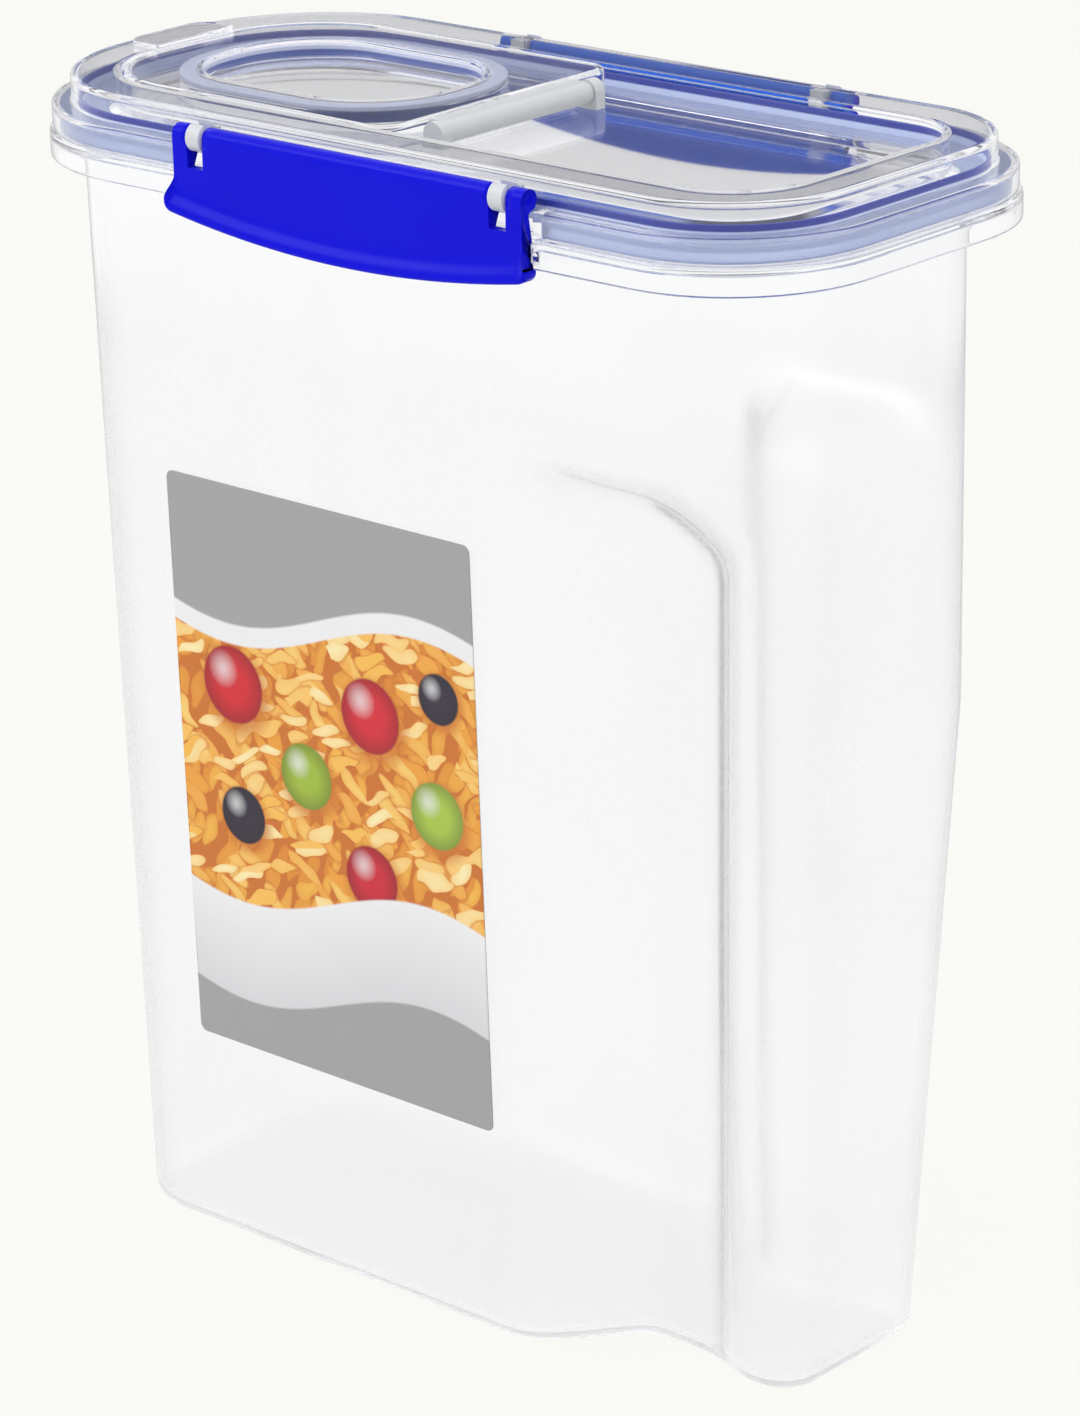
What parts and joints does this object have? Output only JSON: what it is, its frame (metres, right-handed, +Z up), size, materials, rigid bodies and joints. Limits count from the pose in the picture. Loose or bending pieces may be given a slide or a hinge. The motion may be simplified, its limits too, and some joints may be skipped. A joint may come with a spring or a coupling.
{
  "type": "cereal container",
  "caption": "Clear upright food keeper with a clip-on lid, a hinged pour flap, side clips, a soft seal and a pinched grip at one end.",
  "frame": {"origin": "middle of the underside, where the tub stands", "axes": "+Z up; X along the length, pour end at -X and handle end at +X; the labelled side with the front clip faces -Y"},
  "size_m": [0.242, 0.1192, 0.289],
  "materials": {
    "clear_tub": "clear glossy polypropylene",
    "clear_lid": "clear glossy polypropylene",
    "soft_seal": "soft translucent blue elastomer",
    "clip_blue": "glossy deep blue polypropylene",
    "label_card": "satin printed film"
  },
  "bodies": {
    "tub": {"tub": "clear_tub", "label": "label_card"},
    "lid": {"lid": "clear_lid", "lid_seal": "soft_seal"},
    "flap": {"flap": "clear_lid", "flap_seal": "soft_seal"},
    "front_clip": {"front_clip": "clip_blue"},
    "rear_clip": {"rear_clip": "clip_blue"}
  },
  "joints": [
    {"name": "lid_lift", "type": "slide", "parent": "tub", "child": "lid", "axis": [0, 0, 1], "range_m": [0, 0.12]},
    {"name": "flap_hinge", "type": "hinge", "parent": "lid", "child": "flap", "pos_m": [0.0022, 0, 0.2843], "axis": [0, 1, 0], "range_deg": [0, 110]},
    {"name": "front_clip_hinge", "type": "hinge", "parent": "lid", "child": "front_clip", "pos_m": [0, -0.055, 0.283], "axis": [-1, 0, 0], "range_deg": [0, 115]},
    {"name": "rear_clip_hinge", "type": "hinge", "parent": "lid", "child": "rear_clip", "pos_m": [0, 0.055, 0.283], "axis": [1, 0, 0], "range_deg": [0, 115]}
  ]
}
